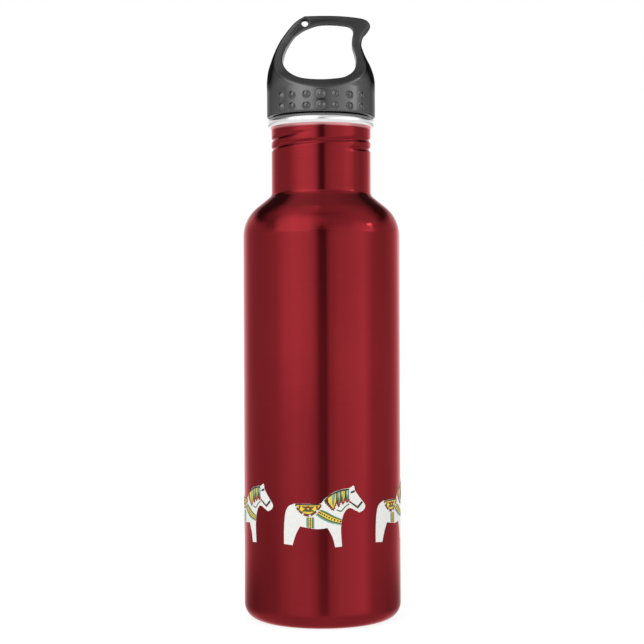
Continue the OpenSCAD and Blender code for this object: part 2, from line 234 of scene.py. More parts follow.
def make_world():
    """Two tall front panels with a gap for the camera, dimmer sides, a pale backdrop, a top
    light on the left, and dark flags above the back corners."""
    world = bpy.data.worlds.new("studio")
    scene.world = world
    world.use_nodes = True
    n = Nodes(world.node_tree)
    x, y, z = n.add("SeparateXYZ", {"Vector": n.add("TexCoord").outputs["Generated"]}).outputs
    azimuth = n.math("ARCTAN2", x, n.math("MULTIPLY", y, -1))
    side = n.math("DIVIDE", n.math("ADD", azimuth, pi), 2 * pi)
    elevation = n.math("MULTIPLY", n.math("ARCSINE", z), 180 / pi)
    light, below = None, None
    for level, stops in BANDS:
        band = n.ramp(side, [((a + 180) / 360, v / LIGHT_TOP) for a, v in stops])
        if light is None:
            light = band
        else:
            share = n.map(elevation, below, level)
            light = n.add("MixRGB", {"Fac": share, "Color1": light, "Color2": band})
        below = level
    studio = n.add("Background", {"Color": light, "Strength": LIGHT_TOP})
    plain = n.add("Background", {"Color": (1.0, 1.0, 1.0, 1), "Strength": 1.0})
    both = n.add("MixShader", {0: n.add("LightPath").outputs["Is Camera Ray"], 1: studio, 2: plain})
    n.surface(both, "OutputWorld")


def make_floor():
    """White floor under the bottle; it glows, so only a faint shadow shows on it."""
    mesh = bpy.data.meshes.new("floor")
    half = 3.0                            # in metres
    mesh.from_pydata([(-half, -half, 0), (half, -half, 0), (half, half, 0), (-half, half, 0)], [],
                     [(0, 1, 2, 3)])
    floor = bpy.data.objects.new("floor", mesh)
    scene.collection.objects.link(floor)
    material, n = new_material("floor")
    shader = n.add("BsdfPrincipled", {"Base Color": (0.22, 0.22, 0.22, 1), "Roughness": 0.9,
                                      "Specular IOR Level": 0.0, "Emission Color": (1, 1, 1, 1),
                                      "Emission Strength": 0.86})
    n.surface(shader)
    mesh.materials.append(material)
    floor.visible_glossy = False


# ---------------------------------------------------------------- materials
def new_material(name):
    """An empty material and its node tree."""
    material = bpy.data.materials.new(name)
    material.use_nodes = True
    return material, Nodes(material.node_tree)


def lacquer_material():
    """Glossy translucent red over brushed steel: fine rings of brushing under the lacquer,
    slight orange peel, faint clouding of the colour, and a painted highlight: a pale pink band under
    the lip."""
    material, n = new_material("lacquer")
    co = n.add("TexCoord").outputs["Object"]
    stretch = n.add("Mapping", {"Vector": co, "Scale": (60, 60, 9000)})
    brush = n.add("TexNoise", {"Vector": stretch, "Scale": 1.0, "Detail": 3.0, "Roughness": 0.65})
    cloud = n.add("TexNoise", {"Vector": co, "Scale": 28.0, "Detail": 2.0})
    tone = n.math("ADD", n.map(brush, 0.3, 0.7, -0.05, 0.05), n.map(cloud, 0.3, 0.7, 0.46, 0.54))
    colour = n.ramp(tone, [(0.38, (0.140, 0.0098, 0.0132)), (0.62, (0.180, 0.0132, 0.0176))])
    rough = n.map(brush, 0.25, 0.75, 0.055, 0.085)
    height = n.add("SeparateXYZ", {"Vector": co}).outputs["Z"]
    # painted highlight: the lacquer turns pale pink just under the lip, as if that band caught light
    pink_highlight = n.math("MULTIPLY", n.map(height, (LIP_LOW - 1.5) * MM, (LIP_LOW - 0.5) * MM),
                  n.map(cloud, 0.2, 0.5, 0.75, 1.0))
    colour = n.add("MixRGB", {"Fac": pink_highlight, "Color1": colour, "Color2": (0.56, 0.26, 0.27, 1)})
    peel = n.add("TexNoise", {"Vector": co, "Scale": 900.0, "Detail": 2.0})
    bump = n.add("Bump", {"Height": brush, "Strength": 0.02, "Distance": 0.00005})
    bump2 = n.add("Bump", {"Height": peel, "Strength": 0.03, "Distance": 0.00004,
                           "Normal": bump.outputs["Normal"]})
    shader = n.add("BsdfPrincipled", {
        "Base Color": colour, "Metallic": 1.0, "Roughness": rough,
        "Specular Tint": (1.0, 0.605, 0.615, 1.0), "Normal": bump2.outputs["Normal"]})
    n.surface(shader)
    return material


def steel_material(name, rough_low, rough_high, rings, colour):
    """Bare brushed steel; rings sets how fine the brushing is."""
    material, n = new_material(name)
    co = n.add("TexCoord").outputs["Object"]
    stretch = n.add("Mapping", {"Vector": co, "Scale": (40, 40, rings)})
    brush = n.add("TexNoise", {"Vector": stretch, "Scale": 1.0, "Detail": 4.0, "Roughness": 0.7})
    tone = n.ramp(brush, [(0.3, (colour * 0.9,) * 3), (0.7, (colour * 1.08,) * 3)])
    rough = n.map(brush, 0.25, 0.75, rough_low, rough_high)
    bump = n.add("Bump", {"Height": brush, "Strength": 0.08, "Distance": 0.00006})
    shader = n.add("BsdfPrincipled", {"Base Color": tone, "Metallic": 1.0, "Roughness": rough,
                                      "Normal": bump.outputs["Normal"]})
    n.surface(shader)
    return material


def plastic_material(name, dark, light, rough_low, rough_high, ior=1.5, specular=0.5):
    """Moulded plastic: fine spark-eroded grain, faint flow marks and slightly uneven gloss."""
    material, n = new_material(name)
    co = n.add("TexCoord").outputs["Object"]
    flow = n.add("TexNoise", {"Vector": n.add("Mapping", {"Vector": co, "Scale": (60, 60, 25)}),
                              "Scale": 1.0, "Detail": 3.0})
    fine = n.add("TexNoise", {"Vector": co, "Scale": 2600.0, "Detail": 2.0})
    colour = n.ramp(flow, [(0.35, dark), (0.65, light)])
    rough = n.math("ADD", n.map(flow, 0.3, 0.7, rough_low, rough_high),
                   n.map(fine, 0.3, 0.7, -0.02, 0.02))
    bump = n.add("Bump", {"Height": fine, "Strength": 0.12, "Distance": 0.00003})
    shader = n.add("BsdfPrincipled", {"Base Color": colour, "Roughness": rough, "IOR": ior,
                                      "Specular IOR Level": specular,
                                      "Normal": bump.outputs["Normal"]})
    n.surface(shader)
    return material


def satin_material(name, low, high, rough_low, rough_high, edge, skirt=None):
    """Dark pearly moulded plastic: it mirrors the panels softly and darkens towards its edges,
    with a fine spark-eroded grain and faint flow marks. Below the height skirt it is worn to a
    plain gloss."""
    material, n = new_material(name)
    co = n.add("TexCoord").outputs["Object"]
    flow = n.add("TexNoise", {"Vector": n.add("Mapping", {"Vector": co, "Scale": (50, 50, 90)}),
                              "Scale": 1.0, "Detail": 4.0, "Distortion": 0.6})
    fine = n.add("TexNoise", {"Vector": co, "Scale": 2200.0, "Detail": 2.0})
    colour = n.ramp(flow, [(0.35, (low, low, low * 1.01)), (0.65, (high, high, high * 1.01))])
    rough = n.math("ADD", n.map(flow, 0.3, 0.7, rough_low, rough_high),
                   n.map(fine, 0.3, 0.7, -0.015, 0.015))
    bump = n.add("Bump", {"Height": fine, "Strength": 0.10, "Distance": 0.00003})
    shader = n.add("BsdfPrincipled", {"Base Color": colour, "Metallic": 0.97, "Roughness": rough,
                                      "Specular Tint": (edge, edge, edge, 1.0), "IOR": 1.4,
                                      "Normal": bump.outputs["Normal"]})
    if skirt:
        dark = n.ramp(flow, [(0.35, (0.003, 0.003, 0.0031)), (0.65, (0.005, 0.005, 0.0052))])
        gloss = n.add("BsdfPrincipled", {"Base Color": dark, "Roughness": rough, "IOR": 1.82,
                                         "Normal": bump.outputs["Normal"]})
        pearl = n.add("BsdfPrincipled", {"Base Color": colour, "Metallic": 1.0, "Roughness": rough,
                                         "Specular Tint": (0.16, 0.16, 0.16, 1.0),
                                         "Normal": bump.outputs["Normal"]})
        worn = n.add("MixShader", {0: 0.3, 1: pearl, 2: gloss})
        height = n.add("SeparateXYZ", {"Vector": co}).outputs["Z"]
        share = n.map(height, skirt * MM, (skirt + 5) * MM)
        shader = n.add("MixShader", {0: share, 1: worn, 2: shader})
    n.surface(shader)
    return material


def ink_material(name, colour):
    """Pad-printed ink: slightly mottled cover and a fine uneven surface."""
    material, n = new_material(name)
    co = n.add("TexCoord").outputs["Object"]
    mottle = n.add("TexNoise", {"Vector": co, "Scale": 700.0, "Detail": 3.0, "Roughness": 0.6})
    low = tuple(c * 0.96 for c in colour)
    high = tuple(min(1.0, c * 1.02) for c in colour)
    tone = n.ramp(mottle, [(0.35, low), (0.62, high)])
    rough = n.map(mottle, 0.3, 0.7, 0.42, 0.55)
    bump = n.add("Bump", {"Height": mottle, "Strength": 0.1, "Distance": 0.00003})
    shader = n.add("BsdfPrincipled", {"Base Color": tone, "Roughness": rough,
                                      "Specular IOR Level": 0.3,
                                      "Normal": bump.outputs["Normal"]})
    n.surface(shader)
    return material


# ---------------------------------------------------------------- mesh helpers
def add_piece(name, verts, faces, body, replaced, materials, indices=None, smooth=True,
              crease=40.0):
    """A piece from points in mm. Faces that meet at more than crease degrees meet in a sharp
    edge; with a crease of 0 all edges are soft."""
    mesh = bpy.data.meshes.new(name)
    mesh.from_pydata((np.asarray(verts, float) * MM).tolist(), [], [list(f) for f in faces])
    mesh.validate()
    for material in materials:
        mesh.materials.append(material)
    if indices is not None:
        mesh.polygons.foreach_set("material_index", list(indices))
    mesh.polygons.foreach_set("use_smooth", [smooth] * len(mesh.polygons))
    mesh.update()
    if smooth and crease:
        mesh.set_sharp_from_angle(angle=radians(crease))
    piece = bpy.data.objects.new(name, mesh)
    scene.collection.objects.link(piece)
    piece.visible_glossy = False          # the pieces mirror the studio, not each other
    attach(piece, body)
    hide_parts(*replaced)


def arc(cx, cy, r, a, b, n):
    """n + 1 points of an arc from a to b degrees."""
    return [(cx + r * cos(radians(a + (b - a) * i / n)), cy + r * sin(radians(a + (b - a) * i / n)))
            for i in range(n + 1)]


def dense(points, step):
    """Points of a polyline, no further than step apart."""
    out = [points[0]]
    for (x0, y0), (x1, y1) in zip(points, points[1:]):
        n = max(1, int(np.ceil(hypot(x1 - x0, y1 - y0) / step)))
        out += [(x0 + (x1 - x0) * i / n, y0 + (y1 - y0) * i / n) for i in range(1, n + 1)]
    return out


def lathe(profile, segments, shift=None):
    """Points and faces of a turned solid, and for each face the profile point it starts at.
    profile is (radius, height), going round the section. shift(radius, height, degrees) is
    added to a point's radius."""
    n = len(profile)
    angles = np.arange(segments) * 2 * pi / segments
    verts = np.zeros((n, segments, 3))
    for i, (r, z) in enumerate(profile):
        radius = np.full(segments, float(r))
        if shift is not None:
            radius = radius + shift(r, z, np.degrees(angles))
        verts[i, :, 0] = radius * np.cos(angles)
        verts[i, :, 1] = radius * np.sin(angles)
        verts[i, :, 2] = z
    faces, row_of = [], []
    for i in range(n):
        k = (i + 1) % n
        for j in range(segments):
            m = (j + 1) % segments
            faces.append((i * segments + j, i * segments + m, k * segments + m, k * segments + j))
            row_of.append(i)
    return verts.reshape(-1, 3), faces, row_of


def thread_share(angle, z, z0, a0, turn):
    """Share of the full thread, 0 to 1, at an array of angles in degrees and one height."""
    best = np.zeros_like(angle)
    for k in range(STARTS):
        along = (angle - a0 - 360.0 / STARTS * k) % 360.0
        share = np.clip(np.minimum(along, turn - along) / FADE, 0, 1)
        share = share * share * (3 - 2 * share)
        off = np.abs(z - z0 - LEAD * along / 360.0)
        ridge = share * np.cos(pi / 2 * np.minimum(off / GROOVE_HALF, 1)) ** 2
        best = np.maximum(best, np.where(off < GROOVE_HALF, ridge, 0))
    return best


# ---------------------------------------------------------------- bottle
def wall_line(t):
    """Half outline of the wall from the weld to the lip, moved in by t."""
    lean = 90 - SLOPE
    dome_r, dome_z = BODY_R - SHOULDER_R, SHOULDER_Z
    pivot_r = NECK_R + FILLET
    across = SHOULDER_R + FILLET - (pivot_r - dome_r) * cos(radians(lean))
    pivot_z = dome_z + across / sin(radians(lean))
    line = [(BODY_R - t, WELD_Z)]
    line += arc(dome_r, dome_z, SHOULDER_R - t, 0, lean, 40)
    line += arc(pivot_r, pivot_z, FILLET + t, 180 + lean, 180, 14)
    line += [(NECK_R - t, NECK_Z + 0.25 * i) for i in range(51)]
    # the neck flares slightly into the rolled lip
    for i in range(1, 9):
        u = i / 8
        line.append((NECK_R - t + FLARE * u * u, FLARE_Z + (LIP_LOW + 0.1 - FLARE_Z) * u))
    return line


def build_bottle(red, bare):
    """Drawn wall with the rolled thread: lacquered outside, bare inside."""
    def groove(radius, height, angles):
        return -GROOVE * thread_share(angles, height, THREAD_Z, THREAD_A, THREAD_TURN)

    outer, inner = dense(wall_line(0.0), 2.5), dense(wall_line(SHEET), 2.5)
    verts, faces, row = lathe(outer + inner[::-1], 288, groove)
    indices = [0 if i < len(outer) - 1 else 1 for i in row]
    add_piece("bottle_wall", verts, faces, "bottle", ["body_shell"], [red, bare],
              indices)


# dish of the bottom, from the foot to the axis
DISH = [(24.2, 2.3), (23.4, 2.6), (18, 2.75), (12, 2.6), (11.2, 2.35), (10.6, 2.3), (AXIS, 2.3)]


def base_line(t):
    """Half outline of the bottom from the weld to the axis, moved in by t."""
    foot_r = BODY_R - CORNER_R
    line = [(BODY_R - t, WELD_Z)] + arc(foot_r, CORNER_R, CORNER_R - t, 0, -90, 24)
    line += arc(foot_r - FOOT_W, FOOT_R, FOOT_R - t, -90, -160, 8)
    return line + [(r, z + t) for r, z in DISH]


def build_base(red, bare):
    """Bottom with a foot ring and a dish: lacquered below, bare inside."""
    outer, inner = base_line(0.0), base_line(SHEET)
    verts, faces, row = lathe(inner + outer[::-1], 256)
    indices = [0 if i >= len(inner) else 1 for i in row]
    add_piece("bottle_bottom", verts, faces, "bottle", ["base_plate"], [red, bare],
              indices)


def build_lip(bare):
    """Rolled lip: the sheet turns out over the mouth and curls in under itself."""
    inner_r, round_r, roll_r = NECK_R - SHEET + 0.15, 0.9, 1.5
    roll_z, roll_half = (LIP_LOW + LIP_TOP) / 2 + 0.02, (LIP_TOP - LIP_LOW) / 2
    line = [(inner_r, LIP_LOW)]
    line += arc(inner_r + round_r, LIP_TOP - round_r, round_r, 180, 95, 10)
    line += [(LIP_R - roll_r + roll_r * sin(radians(a)), roll_z + roll_half * cos(radians(a)))
             for a in range(0, 172, 6)]
    line += [(NECK_R + 0.45, LIP_LOW + 0.06), (NECK_R + 0.08, LIP_LOW + 0.2)]
    verts, faces, _ = lathe(line[::-1], 288)
    add_piece("bottle_lip", verts, faces, "bottle", ["mouth_lip"], [bare])


# ---------------------------------------------------------------- cap
# outlines as (x, z) from the front, and for SCOOP (y, z) from the side
CAP_LEFT = [(-25.3, 246), (-25.1, 250.2), (-24.6, 254.2), (-23.4, 258.2), (-21.9, 262.3),
            (-19.1, 268.3), (-15.0, 274.1), (-11.4, 277.9), (-8.1, 280.0)]
CAP_RIGHT = [(-8.1, 280.0), (2, 280.2), (11, 279.9), (19.5, 278.9), (22.3, 277.2), (22.8, 275.3),
             (21.3, 272.8), (19.5, 270.6), (18.8, 267), (20.2, 262.6), (21.7, 259.4), (23.2, 256.4),
             (24.8, 251.4), (25.3, 246)]
LOOP_HOLE = [(-17.8, 258.8), (-16.5, 264.3), (-12.9, 270.2), (-10, 272.9), (-6.8, 274.8),
             (-1.6, 276.6), (3.6, 277), (9.2, 276.6), (13, 275.9), (14.8, 274.4), (15.1, 272.2),
             (14.6, 269.4), (14.7, 266.2), (15.8, 262.6), (16.4, 259.2), (15.6, 254), (12.9, 250.7),
             (8.8, 248.9), (0, 248.1), (-8.4, 248.9), (-13.2, 251.1), (-16.4, 254.4)]
SCOOP = [(25.3, 243.9), (23.9, 245.4), (21, 248.1), (18, 250.9), (15.1, 253.7), (11, 258.6),
         (7.4, 263.4), (5, 267.6), (4, 271.5)]
CURVE_STEPS = 6                       # steps of a curve between two of its points


def spline(p, q, r, s, t):
    """Point of a Catmull-Rom curve between q and r."""
    return 0.5 * (2 * q + (r - p) * t + (2 * p - 5 * q + 4 * r - s) * t * t
                  + (3 * q - p - 3 * r + s) * t ** 3)


def open_curve(points):
    """Smooth curve from the first to the last of the points."""
    p = np.asarray(points, float)
    out = []
    for i in range(len(p) - 1):
        a, b, c, d = p[max(i - 1, 0)], p[i], p[i + 1], p[min(i + 2, len(p) - 1)]
        out += [spline(a, b, c, d, j / CURVE_STEPS) for j in range(CURVE_STEPS)]
    return np.array(out + [p[-1]])


def closed_curve(points):
    """Smooth closed curve through the points."""
    p = np.asarray(points, float)
    m = len(p)
    return np.array([spline(p[i - 1], p[i], p[(i + 1) % m], p[(i + 2) % m], j / CURVE_STEPS)
                     for i in range(m) for j in range(CURVE_STEPS)])


def polygon_distance(poly, gx, gy):
    """Signed distance to a closed polygon on a grid, negative inside."""
    tiny = 1e-12
    X, Y = np.meshgrid(gx, gy, indexing="ij")
    best = np.full(X.shape, 1e9)
    inside = np.zeros(X.shape, bool)
    for (x0, y0), (x1, y1) in zip(poly, np.roll(poly, -1, axis=0)):
        dx, dy = x1 - x0, y1 - y0
        t = np.clip(((X - x0) * dx + (Y - y0) * dy) / max(dx * dx + dy * dy, tiny), 0, 1)
        best = np.minimum(best, (X - x0 - t * dx) ** 2 + (Y - y0 - t * dy) ** 2)
        rise = dy if abs(dy) > tiny else tiny
        inside ^= ((y0 > Y) != (y1 > Y)) & (X < dx * (Y - y0) / rise + x0)
    return np.sqrt(best) * np.where(inside, -1, 1)


def smax(a, b, k):
    """The greater of a and b, with a rounding of width k where they meet."""
    h = np.maximum(k - np.abs(a - b), 0) / k
    return np.maximum(a, b) + h * h * k / 4


def smin(a, b, k):
    """The smaller of a and b, rounded in the same way."""
    return -smax(-a, -b, k)


def surface_nets(f, origin, h):
    """Smooth quads of the zero surface of the grid f."""
    neg = f < 0
    cells = [slice(None, -1), slice(1, None)]
    some = np.zeros(tuple(s - 1 for s in f.shape), bool)
    every = np.ones(some.shape, bool)
    corners = [(i, j, k) for i in (0, 1) for j in (0, 1) for k in (0, 1)]
    for i, j, k in corners:
        c = neg[cells[i], cells[j], cells[k]]
        some |= c
        every &= c
    active = some & ~every
    at = np.argwhere(active)
    index = np.full(some.shape, -1, np.int64)
    index[active] = np.arange(len(at))
    value = {c: f[at[:, 0] + c[0], at[:, 1] + c[1], at[:, 2] + c[2]] for c in corners}
    total = np.zeros((len(at), 3))
    count = np.zeros(len(at))
    for a in corners:
        for axis in range(3):
            if a[axis]:
                continue
            b = list(a)
            b[axis] = 1
            va, vb = value[a], value[tuple(b)]
            cut = (va < 0) != (vb < 0)
            t = np.where(cut, va / np.where(cut, va - vb, 1), 0)
            point = np.tile(np.array(a, float), (len(at), 1))
            point[:, axis] = t
            total[cut] += point[cut]
            count[cut] += 1
    verts = np.array(origin) + h * (at + total / count[:, None])
    quads = []
    for axis in range(3):
        one, two = [(1, 2), (2, 0), (0, 1)][axis]
        lead = [slice(1, -1)] * 3
        lead[axis] = slice(0, -1)
        ahead = [slice(1, -1)] * 3
        ahead[axis] = slice(1, None)
        a, b = neg[tuple(lead)], neg[tuple(ahead)]
        for flip, found in ((False, a & ~b), (True, ~a & b)):
            p = np.argwhere(found)
            p += np.array([0 if i == axis else 1 for i in range(3)])
            e1, e2 = np.zeros(3, int), np.zeros(3, int)
            e1[one], e2[two] = 1, 1
            ring = [index[tuple((p - e1 - e2).T)], index[tuple((p - e2).T)], index[tuple(p.T)],
                    index[tuple((p - e1).T)]]
            if flip:
                ring = ring[::-1]
            quads.append(np.stack(ring, 1))
    return verts, np.concatenate(quads)


def cap_distances(x, y, z):
    """Distances to the cap's front outline, its side outline and the loop's opening."""
    wide, deep, high = 40, SKIRT_Z - 20, 300              # well outside the cap
    left, right, scoop = open_curve(CAP_LEFT), open_curve(CAP_RIGHT), open_curve(SCOOP)
    front = np.vstack([[(-wide, deep), (-wide, left[0, 1])], left, right[1:],
                       [(wide, right[-1, 1]), (wide, deep)]])
    half = np.vstack([[(wide, deep), (wide, scoop[0, 1])], scoop, [(scoop[-1, 0], high)]])
    side = np.vstack([half, half[::-1] * [-1, 1]])
    return (polygon_distance(front, x, z)[:, None, :], polygon_distance(side, y, z)[None, :, :],
            polygon_distance(closed_curve(LOOP_HOLE), x, z)[:, None, :])


def dome_radius(x, z):
    """Radius of the dome that each side of the loop is cut from; it follows that side's own
    outline."""
    left, right = open_curve(CAP_LEFT), open_curve(CAP_RIGHT)[::-1]
    flank = right[:int(np.argmax(right[:, 1] > HOOK_Z + 0.5))]
    dome_left = np.interp(z, left[:, 1], -left[:, 0])
    dome_right = np.interp(z, flank[:, 1], flank[:, 0])
    # beyond the flank the dome opens out, so that it leaves the hook whole
    dome_right = np.where(z > HOOK_Z, dome_right + (z - HOOK_Z) * 1.2, dome_right)
    # above the skirt the dome stands clear of the outline by up to 0.4 mm
    spare = np.interp(z, [245.5, 249.0], [0, 0.4])
    return np.where(x < 0, dome_left, dome_right) + spare


def add_studs(f, x, y, z):
    """Adds two rows of ball studs to the skirt, in front and behind."""
    X, Y, Z = x[:, None, None], y[None, :, None], z[None, None, :]
    r = CAP_R + STUD_H - STUD_BALL
    reach = 3.4                           # no stud changes the field further from its middle
    for back in (0, 180):
        for k in range(-STUD_SIDE, STUD_SIDE + 1):
            a = radians(back + STUD_PITCH * k)
            cx, cy = r * sin(a), -r * cos(a)
            for row in STUD_ROWS:
                i0, i1 = np.searchsorted(x, [cx - reach, cx + reach])
                j0, j1 = np.searchsorted(y, [cy - reach, cy + reach])
                k0, k1 = np.searchsorted(z, [row - reach, row + reach])
                ball = np.sqrt((X[i0:i1] - cx) ** 2 + (Y[:, j0:j1] - cy) ** 2
                               + (Z[:, :, k0:k1] - row) ** 2) - STUD_BALL
                f[i0:i1, j0:j1, k0:k1] = smin(f[i0:i1, j0:j1, k0:k1], ball, 0.15)


def cap_field(h):
    """Distance field of the cap on a grid of step h, the grid's origin, and a field that is
    above 0 on the loop's flat faces."""
    reach, top = 27.0, 282.0              # the grid's extent round the cap
    x = np.arange(-reach, reach + h, h)
    y = np.arange(-reach, reach + h, h)
    z = np.arange(SKIRT_Z - 1.2, top + h, h)
    X, Y, Z = x[:, None, None], y[None, :, None], z[None, None, :]
    R = np.sqrt(X * X + Y * Y)
    front, side, opening = cap_distances(x, y, z)
    outline = front - 0.3                 # the silhouette runs up to 0.3 mm outside its points
    dome = (R - dome_radius(X, z)) * 0.93  # less than 1, because the dome leans
    pillow = side + 0.0025 * X * X        # the flat faces are slightly crowned
    f = smax(pillow, outline, 2.0)
    f = smax(f, dome, 0.7)
    f = smax(f, -opening, 0.6)
    f = smax(f, SKIRT_Z + 0.1 - Z, 0.8)
    # the lanyard hole is countersunk from both sides
    hole_x, hole_z = HOLE_AT
    hole = np.sqrt((X - hole_x) ** 2 + (Z - hole_z) ** 2) - HOLE_R
    hole = hole - 0.3 * np.maximum(np.abs(Y) - 2.0, 0)
    f = smax(f, -hole, 0.3)
    add_studs(f, x, y, z)
    pocket = np.maximum(R - POCKET_R, Z - SEAT_Z)
    bore = np.maximum(R - PLUG_R, Z - PLUG_TOP)
    f = smax(f, -np.minimum(pocket, bore), 0.3)
    flat = pillow - np.maximum(dome, outline)
    return f, (x[0], y[0], z[0]), np.where(Z > FACE_Z, flat, -1)


def build_cap(skin, face):
    """The cap as one skin, polished, with the loop's flat faces matt."""
    h = 0.30
    f, origin, flat = cap_field(h)
    verts, quads = surface_nets(f, origin, h)
    at = np.clip(np.round((verts - np.array(origin)) / h).astype(int), 0, np.array(flat.shape) - 1)
    value = flat[at[:, 0], at[:, 1], at[:, 2]]
    indices = (value[quads].mean(1) > 0).astype(int)
    add_piece("loop_cap", verts, quads.tolist(), "cap", ["cap_shell"],
              [skin, face], indices.tolist(), crease=0)


def build_plug(plastic):
    """Hollow plug that hangs from the cap; its thread runs between the neck's grooves."""
    top = PLUG_TOP - 0.02                 # clear of the bore's end in the cap
    low = PLUG_LOW + PLUG_ROUND
    inner_r, floor_z = PLUG_R - PLUG_WALL, PLUG_LOW + PLUG_WALL
    outer = [(AXIS, PLUG_LOW), (PLUG_R - 1.0, PLUG_LOW)]
    outer += arc(PLUG_R - PLUG_ROUND, low, PLUG_ROUND, -90, 0, 6)
    outer += [(PLUG_R, low + 0.3 * i) for i in range(1, 60)] + [(PLUG_R, top)]
    inner = [(inner_r, top), (inner_r, floor_z + PLUG_ROUND)]
    inner += arc(inner_r - PLUG_ROUND, floor_z + PLUG_ROUND, PLUG_ROUND, 0, -90, 6)
    inner += [(AXIS, floor_z)]
    late, short = 40.0, 65                # the thread begins later and covers less than a groove
    z0 = THREAD_Z - LEAD / STARTS / 2 + 0.2 + LEAD * late / 360

    def rise(radius, height, angles):
        if abs(radius - PLUG_R) > 0.01:
            return 0 * angles
        return PLUG_THREAD * thread_share(angles, height, z0, THREAD_A + late, THREAD_TURN - short)

    verts, faces, _ = lathe(outer + inner, 240, rise)
    add_piece("cap_thread", verts, faces, "cap", ["cap_plug"], [plastic])


def build_gasket(rubber, dark):
    """Gasket with a step under the skirt; the step's wall is painted near black as the shade in the
    slot under the skirt.
    """
    low, high, out, inn, r = LIP_TOP + 0.1, SEAT_Z, POCKET_R - 0.15, PLUG_R + 0.15, 0.35
    shelf, step = low + 0.85, out - 1.4
    line = arc(out - 0.2, low + 0.2, 0.2, -90, 0, 5) + arc(out - r, shelf - r, r, 0, 90, 6)
    line += [(step + 0.1, shelf), (step, shelf + 0.1)]
    line += arc(step - r, high - r, r, 0, 90, 6)
    line += arc(inn + r, high - r, r, 90, 180, 6) + arc(inn + r, low + r, r, 180, 270, 6)
    verts, faces, row = lathe(line, 240)
    # the step's wall in the slot under the skirt takes the near-black material: painted shade
    deep = [1 if line[i][1] > shelf and line[i][0] > inn + 1 else 0 for i in row]
    add_piece("gasket_ring", verts, faces, "gasket", ["cap_gasket"], [rubber, dark], deep)


# ---------------------------------------------------------------- printed horses
# outlines in mm on the unrolled wall: round the wall from the horse's middle, and height
RUMP = [(-17.9, 38.5), (-17.9, 44), (-17.6, 49.5), (-16.9, 53.3), (-15.4, 55.6), (-12.8, 56.7)]
BACK = [(-12.8, 56.7), (-6.4, 56.8), (-1.2, 56.8), (1, 59), (4.8, 61.8), (9, 63.2), (12.3, 63.6)]
EAR = [(12.3, 63.6), (14.1, 64.7), (14.6, 64.3), (14.8, 62.5)]
FACE = [(14.8, 62.5), (16.5, 60.2), (18.2, 58.1), (19.7, 56.3), (20.1, 55), (19.2, 53.5),
        (17.1, 52.5)]
THROAT = [(17.1, 52.5), (15, 53.6), (12.4, 54.7), (10.5, 53.7), (9.1, 51), (8.4, 47.5), (8.3, 44),
          (8.7, 37.7)]
FORE_LEG = [(5.6, 37.5), (4.4, 42), (2.2, 46.1)]
BELLY = [(2.2, 46.1), (-2, 45.6), (-6, 46), (-10.1, 46.7)]
HIND_LEG = [(-10.1, 46.7), (-12.1, 43), (-13.7, 38.2)]
SADDLE_LEFT = np.array([-12.4, 55.8])
SADDLE_LOW = np.array([-6.4, 51.5])
SADDLE_RIGHT = np.array([-0.4, 56.2])
STRAP_TOP = [(-0.7, 54.3), (1.6, 53.4), (5, 51.5), (8.6, 49.9)]
STRAP_LOW = [(-3, 51.9), (-0.4, 50.1), (3.4, 48.3), (8.3, 47.3)]
MANE_TOP = [(0.6, 58.2), (2.8, 60.45), (4.8, 61.65), (6.8, 62.5), (9, 63.1), (12, 63.4)]
MANE_LOW = [(12, 58.2), (11.2, 57.2), (10.2, 58.6), (9.2, 56.5), (8.2, 58.2), (7.3, 55.4), (6.3, 57.4),
            (4.9, 53.6)]
MANE_LOCKS = [(12.0, 10.4, 11.2, 57.7), (10.2, 8.4, 9.2, 57.1), (8.2, 6.5, 7.3, 56.1),
              (6.3, 2.4, 4.8, 54.5)]      # right and left side at the root, x and z of the tip
WHITE, YELLOW, TEAL, DARK, RED, GREEN = range(6)
COAT, GROUND, FIRST, SECOND, THIRD = 0.10, 0.16, 0.175, 0.19, 0.205   # where each layer of ink ends


def joined(*parts):
    """One outline from several, without repeated points."""
    out = [tuple(p) for p in np.vstack([np.asarray(q, float) for q in parts])]
    return [p for i, p in enumerate(out) if hypot(p[0] - out[i - 1][0], p[1] - out[i - 1][1]) > 1e-4]


def disc(x, y, r, n=14):
    """Round dot with n corners."""
    return [(x + r * cos(2 * pi * i / n), y + r * sin(2 * pi * i / n)) for i in range(n)]


def leaf(x, y, length, width, turn, n=8):
    """Pointed leaf from (x, y) along turn degrees."""
    c, s = cos(radians(turn)), sin(radians(turn))
    up = [(length * i / n, width / 2 * sin(pi * i / n)) for i in range(n + 1)]
    loop = up + [(a, -b) for a, b in up[-2:0:-1]]
    return [(x + a * c - b * s, y + a * s + b * c) for a, b in loop]


def band(points, w):
    """Strip of width w along a smooth curve."""
    q = open_curve(points)
    t = np.gradient(q, axis=0)
    normal = np.stack([-t[:, 1], t[:, 0]], 1) / np.linalg.norm(t, axis=1)[:, None]
    return joined(q + normal * w / 2, (q - normal * w / 2)[::-1])


def saddle_edge(share, k=1.0):
    """Point on the saddle cloth's lower edge, k = 1 at the edge and smaller nearer the back."""
    a = SADDLE_LEFT + (1 - k) * np.array([2.6, 0.6])
    b = SADDLE_RIGHT + (1 - k) * np.array([-2.6, 0.4])
    low = SADDLE_LOW + (1 - k) * np.array([0, 4.2])
    ctrl = 2 * low - (a + b) / 2
    return (1 - share) ** 2 * a + 2 * share * (1 - share) * ctrl + share ** 2 * b


